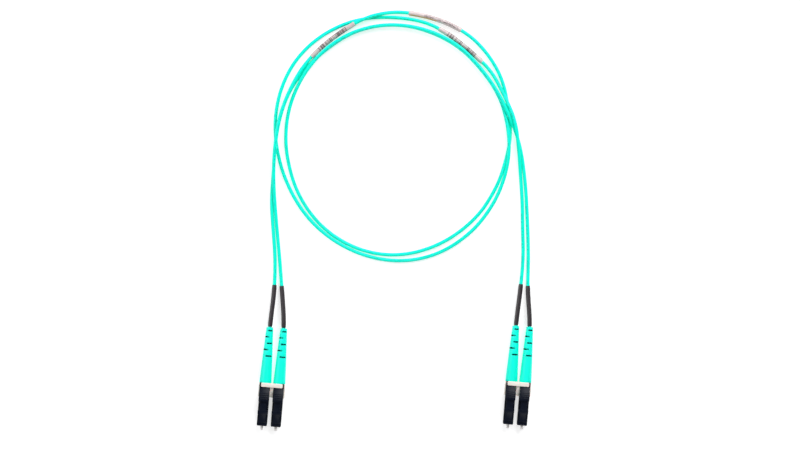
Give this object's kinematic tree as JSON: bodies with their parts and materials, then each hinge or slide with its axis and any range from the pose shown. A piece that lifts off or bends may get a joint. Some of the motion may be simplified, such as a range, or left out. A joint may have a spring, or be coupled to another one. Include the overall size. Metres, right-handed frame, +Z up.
{
  "type": "fiber optic patch cord",
  "caption": "Duplex fibre optic patch cord: latched square plugs in clipped pairs, tapered slit boots, shrink sleeves and two round aqua cords laid in a loose loop.",
  "frame": {"origin": "the middle of the two plug pairs, seen from above, on the surface that the cord lies on", "axes": "+X runs from one plug pair to the other, +Y runs from the plug fronts back to the loop, +Z is up; the plugs point along -Y"},
  "size_m": [0.1251, 0.1931, 0.0079],
  "materials": {
    "housing": "satin navy-black moulded plastic",
    "clip": "off-white moulded plastic",
    "boot": "matte aqua elastomer",
    "jacket": "satin aqua cord jacket",
    "shrink_sleeve": "dark grey heat-shrink",
    "label": "satin wrap-round label",
    "ferrule": "polished white ceramic",
    "flange_metal": "turned metal",
    "spring_steel": "drawn spring wire",
    "crimp_metal": "plain turned sleeve",
    "yarn": "aramid yarn",
    "fibre": "tight-buffered fibre"
  },
  "bodies": {
    "cord_and_plugs": {"housing_a1": "housing", "rear_body_a1": "housing", "spring_a1": "spring_steel", "crimp_sleeve_a1": "crimp_metal", "boot_a1": "boot", "shrink_sleeve_a1": "shrink_sleeve", "housing_a2": "housing", "rear_body_a2": "housing", "spring_a2": "spring_steel", "crimp_sleeve_a2": "crimp_metal", "boot_a2": "boot", "shrink_sleeve_a2": "shrink_sleeve", "housing_b1": "housing", "rear_body_b1": "housing", "spring_b1": "spring_steel", "crimp_sleeve_b1": "crimp_metal", "boot_b1": "boot", "shrink_sleeve_b1": "shrink_sleeve", "housing_b2": "housing", "rear_body_b2": "housing", "spring_b2": "spring_steel", "crimp_sleeve_b2": "crimp_metal", "boot_b2": "boot", "shrink_sleeve_b2": "shrink_sleeve", "duplex_clip_a": "clip", "duplex_clip_b": "clip", "jacket_1": "jacket", "yarn_1": "yarn", "fibre_1": "fibre", "jacket_2": "jacket", "yarn_2": "yarn", "fibre_2": "fibre", "barcode_label_a": "label", "barcode_label_b": "label", "text_label": "label"},
    "ferrule_body_a1": {"ferrule_a1": "ferrule", "ferrule_flange_a1": "flange_metal"},
    "trigger_body_a1": {"trigger_a1": "housing"},
    "latch_body_a1": {"latch_a1": "housing"},
    "ferrule_body_a2": {"ferrule_a2": "ferrule", "ferrule_flange_a2": "flange_metal"},
    "trigger_body_a2": {"trigger_a2": "housing"},
    "latch_body_a2": {"latch_a2": "housing"},
    "ferrule_body_b1": {"ferrule_b1": "ferrule", "ferrule_flange_b1": "flange_metal"},
    "trigger_body_b1": {"trigger_b1": "housing"},
    "latch_body_b1": {"latch_b1": "housing"},
    "ferrule_body_b2": {"ferrule_b2": "ferrule", "ferrule_flange_b2": "flange_metal"},
    "trigger_body_b2": {"trigger_b2": "housing"},
    "latch_body_b2": {"latch_b2": "housing"}
  },
  "joints": [
    {"name": "ferrule_slide_a1", "type": "slide", "parent": "cord_and_plugs", "child": "ferrule_body_a1", "axis": [0, 1, 0], "range_m": [0, 0.001], "stiffness_N_per_m": 5500, "deforming": ["spring_a1"]},
    {"name": "trigger_press_a1", "type": "hinge", "parent": "cord_and_plugs", "child": "trigger_body_a1", "pos_m": [-0.05813, -0.009, 0.00543], "axis": [1, 0, 0], "range_deg": [0, 9], "stiffness_Nm_per_rad": 0.15},
    {"name": "latch_press_a1", "type": "hinge", "parent": "cord_and_plugs", "child": "latch_body_a1", "pos_m": [-0.05813, -0.0242, 0.00543], "axis": [-1, 0, 0], "range_deg": [0, 5.5]},
    {"name": "ferrule_slide_a2", "type": "slide", "parent": "cord_and_plugs", "child": "ferrule_body_a2", "axis": [0, 1, 0], "range_m": [0, 0.001], "stiffness_N_per_m": 5500, "deforming": ["spring_a2"]},
    {"name": "trigger_press_a2", "type": "hinge", "parent": "cord_and_plugs", "child": "trigger_body_a2", "pos_m": [-0.05187, -0.009, 0.00543], "axis": [1, 0, 0], "range_deg": [0, 9], "stiffness_Nm_per_rad": 0.15},
    {"name": "latch_press_a2", "type": "hinge", "parent": "cord_and_plugs", "child": "latch_body_a2", "pos_m": [-0.05187, -0.0242, 0.00543], "axis": [-1, 0, 0], "range_deg": [0, 5.5]},
    {"name": "ferrule_slide_b1", "type": "slide", "parent": "cord_and_plugs", "child": "ferrule_body_b1", "axis": [0, 1, 0], "range_m": [0, 0.001], "stiffness_N_per_m": 5500, "deforming": ["spring_b1"]},
    {"name": "trigger_press_b1", "type": "hinge", "parent": "cord_and_plugs", "child": "trigger_body_b1", "pos_m": [0.05187, 0.0007, 0.00543], "axis": [1, 0, 0], "range_deg": [0, 9], "stiffness_Nm_per_rad": 0.15},
    {"name": "latch_press_b1", "type": "hinge", "parent": "cord_and_plugs", "child": "latch_body_b1", "pos_m": [0.05187, -0.0145, 0.00543], "axis": [-1, 0, 0], "range_deg": [0, 5.5]},
    {"name": "ferrule_slide_b2", "type": "slide", "parent": "cord_and_plugs", "child": "ferrule_body_b2", "axis": [0, 1, 0], "range_m": [0, 0.001], "stiffness_N_per_m": 5500, "deforming": ["spring_b2"]},
    {"name": "trigger_press_b2", "type": "hinge", "parent": "cord_and_plugs", "child": "trigger_body_b2", "pos_m": [0.05813, 0.0007, 0.00543], "axis": [1, 0, 0], "range_deg": [0, 9], "stiffness_Nm_per_rad": 0.15},
    {"name": "latch_press_b2", "type": "hinge", "parent": "cord_and_plugs", "child": "latch_body_b2", "pos_m": [0.05813, -0.0145, 0.00543], "axis": [-1, 0, 0], "range_deg": [0, 5.5]}
  ],
  "couplings": [
    {"joint": "latch_press_a1", "follows": "trigger_press_a1", "ratio": 0.6},
    {"joint": "latch_press_a2", "follows": "trigger_press_a2", "ratio": 0.6},
    {"joint": "latch_press_b1", "follows": "trigger_press_b1", "ratio": 0.6},
    {"joint": "latch_press_b2", "follows": "trigger_press_b2", "ratio": 0.6}
  ]
}
